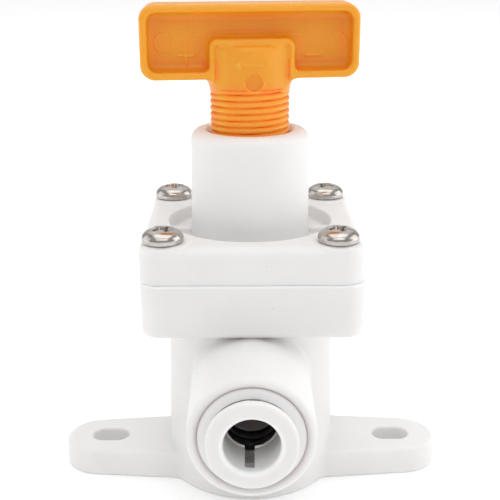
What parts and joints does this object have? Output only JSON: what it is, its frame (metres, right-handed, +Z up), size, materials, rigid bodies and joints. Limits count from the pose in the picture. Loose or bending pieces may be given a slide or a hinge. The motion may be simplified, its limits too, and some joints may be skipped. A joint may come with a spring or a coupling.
{
  "type": "diaphragm valve",
  "caption": "Inline diaphragm valve with a T-handle adjusting screw on a screwed bonnet, opposed push-in tube ports and a slotted mounting foot.",
  "frame": {"origin": "on the spindle axis, at the underside of the mounting foot", "axes": "+Z up along the spindle, +-Y out of the two tube ports (the front port looks along -Y), +-X along the mounting ears"},
  "size_m": [0.0638, 0.0654, 0.0778],
  "materials": {
    "white_plastic": "fine satin moulded acetal, off-white",
    "orange_plastic": "satin moulded, warm orange",
    "stainless_steel": "tumbled bright stainless",
    "spring_steel": "drawn wire",
    "black_rubber": "moulded, matt with a film of grease",
    "grey_acetal": "natural moulded"
  },
  "bodies": {
    "housing": {"valve_body": "white_plastic", "bonnet": "white_plastic", "screw_front_left": "stainless_steel", "screw_front_right": "stainless_steel", "screw_rear_left": "stainless_steel", "screw_rear_right": "stainless_steel", "front_retaining_ring": "white_plastic", "rear_retaining_ring": "white_plastic", "front_outer_o_ring": "black_rubber", "front_inner_o_ring": "black_rubber", "rear_outer_o_ring": "black_rubber", "rear_inner_o_ring": "black_rubber", "front_seal_spacer": "grey_acetal", "rear_seal_spacer": "grey_acetal"},
    "plunger": {"diaphragm": "black_rubber", "pressure_plate": "grey_acetal", "diaphragm_stud": "stainless_steel", "valve_pad": "black_rubber", "range_spring": "spring_steel"},
    "spring_seat": {"spring_seat": "grey_acetal"},
    "handle": {"adjusting_handle": "orange_plastic"},
    "front_collet": {"front_collet": "white_plastic", "front_collet_tooth_1": "stainless_steel", "front_collet_tooth_2": "stainless_steel", "front_collet_tooth_3": "stainless_steel", "front_collet_tooth_4": "stainless_steel"},
    "rear_collet": {"rear_collet": "white_plastic", "rear_collet_tooth_1": "stainless_steel", "rear_collet_tooth_2": "stainless_steel", "rear_collet_tooth_3": "stainless_steel", "rear_collet_tooth_4": "stainless_steel"}
  },
  "joints": [
    {"name": "valve_lift", "type": "slide", "parent": "housing", "child": "plunger", "axis": [0, 0, 1], "range_m": [0, 0.0008], "stiffness_N_per_m": 300, "springref_m": -0.004, "deforming": ["diaphragm"]},
    {"name": "screw_feed", "type": "slide", "parent": "housing", "child": "spring_seat", "axis": [0, 0, 1], "range_m": [-0.00726, 0], "deforming": ["range_spring"]},
    {"name": "handle_turn", "type": "hinge", "parent": "spring_seat", "child": "handle", "pos_m": [0, 0, 0.06685], "axis": [0, 0, 1], "range_deg": [-2610, 0]},
    {"name": "front_collet_push", "type": "slide", "parent": "housing", "child": "front_collet", "axis": [0, 1, 0], "range_m": [0, 0.0009]},
    {"name": "rear_collet_push", "type": "slide", "parent": "housing", "child": "rear_collet", "axis": [0, -1, 0], "range_m": [0, 0.0009]}
  ],
  "couplings": [
    {"joint": "screw_feed", "follows": "handle_turn", "m_per_rad": 0.00015915}
  ]
}
